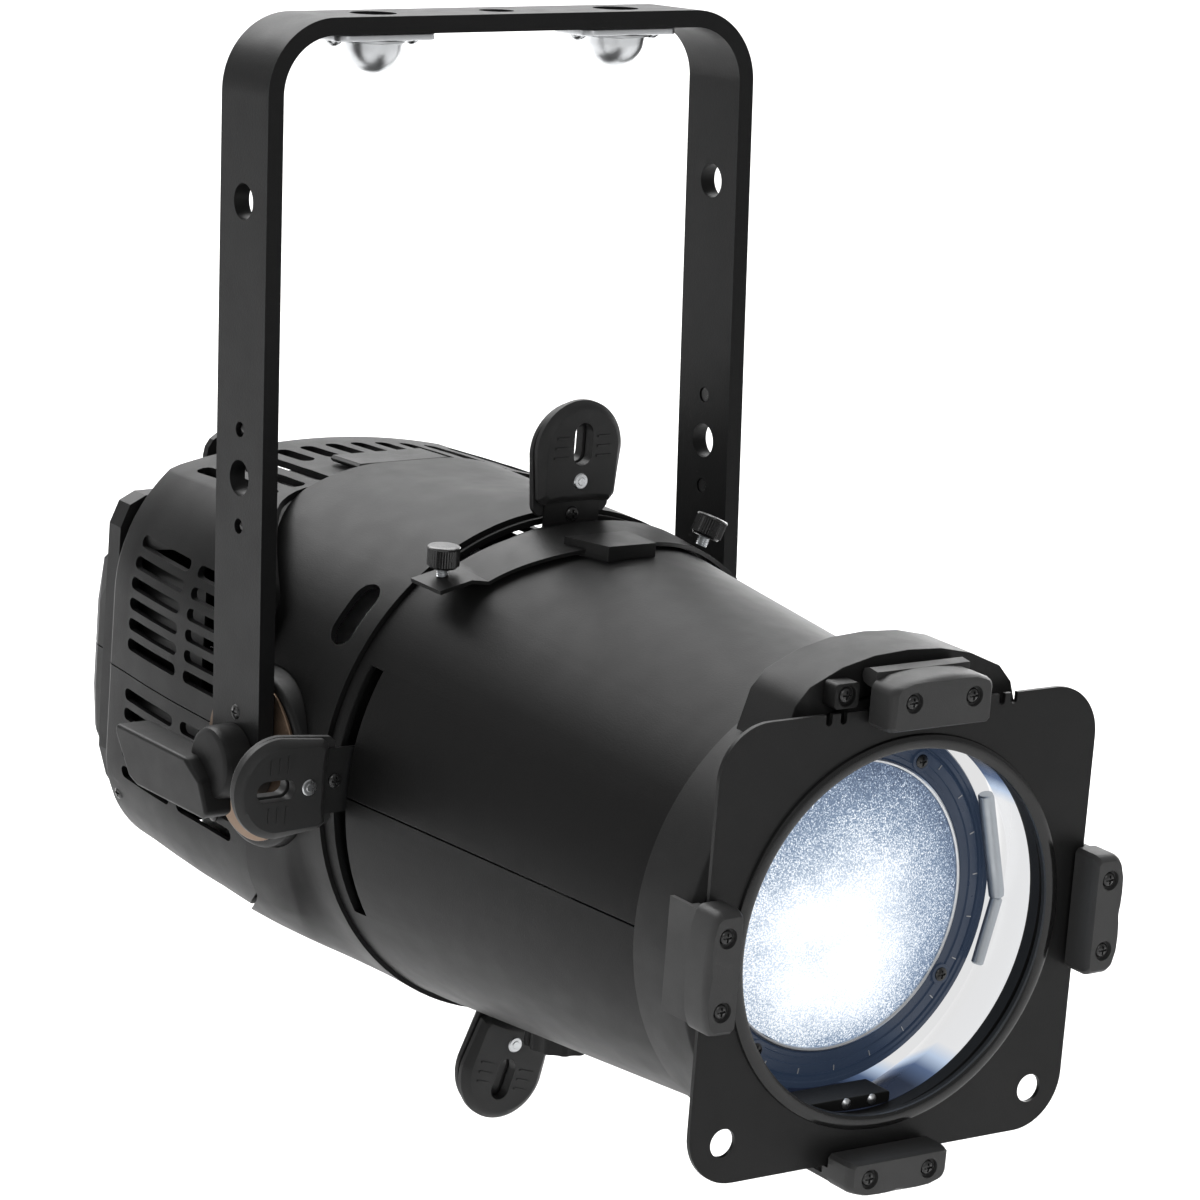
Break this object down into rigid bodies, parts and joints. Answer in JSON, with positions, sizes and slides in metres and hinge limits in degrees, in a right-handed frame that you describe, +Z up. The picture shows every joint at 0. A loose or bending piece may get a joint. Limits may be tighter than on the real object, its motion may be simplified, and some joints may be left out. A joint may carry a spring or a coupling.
{
  "type": "profile spotlight",
  "caption": "Profile stage spotlight hung in a flat-bar yoke, with a vented square housing, round tapering lens barrel, framing shutters and a square accessory frame at the front.",
  "frame": {"origin": "centre of the yoke bar's top face, where the hanging clamp bears", "axes": "+Z up, beam towards -Y and slightly down, +X along the tilt axis to the right of somebody who looks along +Y"},
  "size_m": [0.2772, 0.4372, 0.4066],
  "materials": {
    "black_paint": "matte black powder coat",
    "black_plastic": "fine matte black moulding",
    "grey_plastic": "dark grey satin moulding",
    "zinc": "bright zinc plate",
    "bronze": "sintered bronze",
    "bright_steel": "zinc-plated steel",
    "black_steel": "black sheet steel",
    "bare_blade_steel": "dark stainless sheet",
    "aluminium": "plain extruded aluminium",
    "lens_glass": "clear, stippled towards the rim",
    "circuit_board": "green solder mask",
    "display_glass": "dark display window",
    "rubber": "moulded rubber keycap"
  },
  "bodies": {
    "yoke": {"yoke_bar": "black_paint", "clamp_receptacle_left": "zinc", "clamp_receptacle_right": "zinc", "pivot_bolt_left": "bright_steel", "pivot_bolt_right": "bright_steel", "friction_disc_left": "bronze", "friction_disc_right": "bronze", "lock_nut": "bright_steel"},
    "lever": {"tilt_lever": "black_plastic"},
    "fixture": {"housing_upper": "black_paint", "housing_lower": "black_paint", "cowl_upper": "black_paint", "cowl_lower": "black_paint", "pivot_hub_left": "black_plastic", "pivot_hub_right": "black_plastic", "badge_plate": "black_plastic", "rear_frame": "black_plastic", "rear_cover_upper": "black_plastic", "rear_cover_lower": "black_plastic", "display": "display_glass", "power_inlet": "black_plastic", "data_socket_in": "black_steel", "data_socket_out": "black_steel", "safety_eye": "black_steel", "heat_sink": "aluminium", "led_board": "circuit_board", "condenser_lens": "lens_glass", "power_supply": "aluminium", "fan_frame": "black_plastic"},
    "fan": {"fan_rotor": "black_plastic"},
    "button_1": {"menu_button_1": "rubber"},
    "button_2": {"menu_button_2": "rubber"},
    "button_3": {"menu_button_3": "rubber"},
    "button_4": {"menu_button_4": "rubber"},
    "barrel": {"barrel_upper": "black_paint", "barrel_lower": "black_paint", "gate_front": "black_steel", "gate_rear": "black_steel", "front_collar": "black_plastic", "gel_clip_left": "grey_plastic", "gel_clip_right": "grey_plastic", "gel_clip_bottom": "grey_plastic", "gel_frame": "black_steel", "retainer_hood": "black_plastic", "slot_cover": "black_paint"},
    "retainer": {"gel_retainer": "grey_plastic"},
    "screw_left": {"cover_screw_left": "black_steel"},
    "screw_right": {"cover_screw_right": "black_steel"},
    "shutter_top": {"shutter_blade_top": "bare_blade_steel", "shutter_grip_top": "black_plastic"},
    "shutter_left": {"shutter_blade_left": "bare_blade_steel", "shutter_grip_left": "black_plastic"},
    "shutter_bottom": {"shutter_blade_bottom": "bare_blade_steel", "shutter_grip_bottom": "black_plastic"},
    "shutter_right": {"shutter_blade_right": "bare_blade_steel", "shutter_grip_right": "black_plastic"},
    "carriage": {"lens_carriage": "black_plastic", "front_lens": "lens_glass"},
    "knob": {"focus_knob": "black_plastic"}
  },
  "joints": [
    {"name": "tilt", "type": "hinge", "parent": "yoke", "child": "fixture", "pos_m": [0, 0, -0.2676], "axis": [1, 0, 0], "range_deg": [-20, 85]},
    {"name": "lever_turn", "type": "hinge", "parent": "yoke", "child": "lever", "pos_m": [-0.112, 0, -0.2676], "axis": [1, 0, 0], "range_deg": [0, 60]},
    {"name": "barrel_turn", "type": "hinge", "parent": "fixture", "child": "barrel", "pos_m": [0, -0.04137, -0.27093], "axis": [0, -0.9968, -0.0804], "range_deg": [-25, 25]},
    {"name": "fan_spin", "type": "hinge", "parent": "fixture", "child": "fan", "pos_m": [0, 0.1118, -0.26059], "axis": [0, -0.9968, -0.0804], "continuous": true},
    {"name": "button_1_press", "type": "slide", "parent": "fixture", "child": "button_1", "axis": [0, -0.9968, -0.0804], "range_m": [0, 0.001], "stiffness_N_per_m": 600, "springref_m": -0.0005},
    {"name": "button_2_press", "type": "slide", "parent": "fixture", "child": "button_2", "axis": [0, -0.9968, -0.0804], "range_m": [0, 0.001], "stiffness_N_per_m": 600, "springref_m": -0.0005},
    {"name": "button_3_press", "type": "slide", "parent": "fixture", "child": "button_3", "axis": [0, -0.9968, -0.0804], "range_m": [0, 0.001], "stiffness_N_per_m": 600, "springref_m": -0.0005},
    {"name": "button_4_press", "type": "slide", "parent": "fixture", "child": "button_4", "axis": [0, -0.9968, -0.0804], "range_m": [0, 0.001], "stiffness_N_per_m": 600, "springref_m": -0.0005},
    {"name": "shutter_top_pull", "type": "slide", "parent": "barrel", "child": "shutter_top", "axis": [0, -0.0804, 0.9968], "range_m": [0, 0.035]},
    {"name": "shutter_left_pull", "type": "slide", "parent": "barrel", "child": "shutter_left", "axis": [-1, 0, 0], "range_m": [0, 0.035]},
    {"name": "shutter_right_pull", "type": "slide", "parent": "barrel", "child": "shutter_right", "axis": [1, 0, 0], "range_m": [0, 0.035]},
    {"name": "shutter_bottom_pull", "type": "slide", "parent": "barrel", "child": "shutter_bottom", "axis": [-0.309, 0.0764, -0.948], "range_m": [0, 0.035]},
    {"name": "retainer_turn", "type": "hinge", "parent": "barrel", "child": "retainer", "pos_m": [0, -0.25543, -0.1979], "axis": [-1, 0, 0], "range_deg": [0, 70]},
    {"name": "screw_left_turn", "type": "hinge", "parent": "barrel", "child": "screw_left", "pos_m": [-0.0595, -0.06275, -0.1924], "axis": [0, -0.0804, 0.9968], "continuous": true},
    {"name": "screw_right_turn", "type": "hinge", "parent": "barrel", "child": "screw_right", "pos_m": [0.0506, -0.06689, -0.19073], "axis": [0.4067, -0.0734, 0.9106], "continuous": true},
    {"name": "focus_slide", "type": "slide", "parent": "barrel", "child": "carriage", "axis": [0, -0.9968, -0.0804], "range_m": [0, 0.018]},
    {"name": "knob_turn", "type": "hinge", "parent": "carriage", "child": "knob", "pos_m": [0, -0.05857, -0.36863], "axis": [0, 0.0804, -0.9968], "continuous": true}
  ]
}
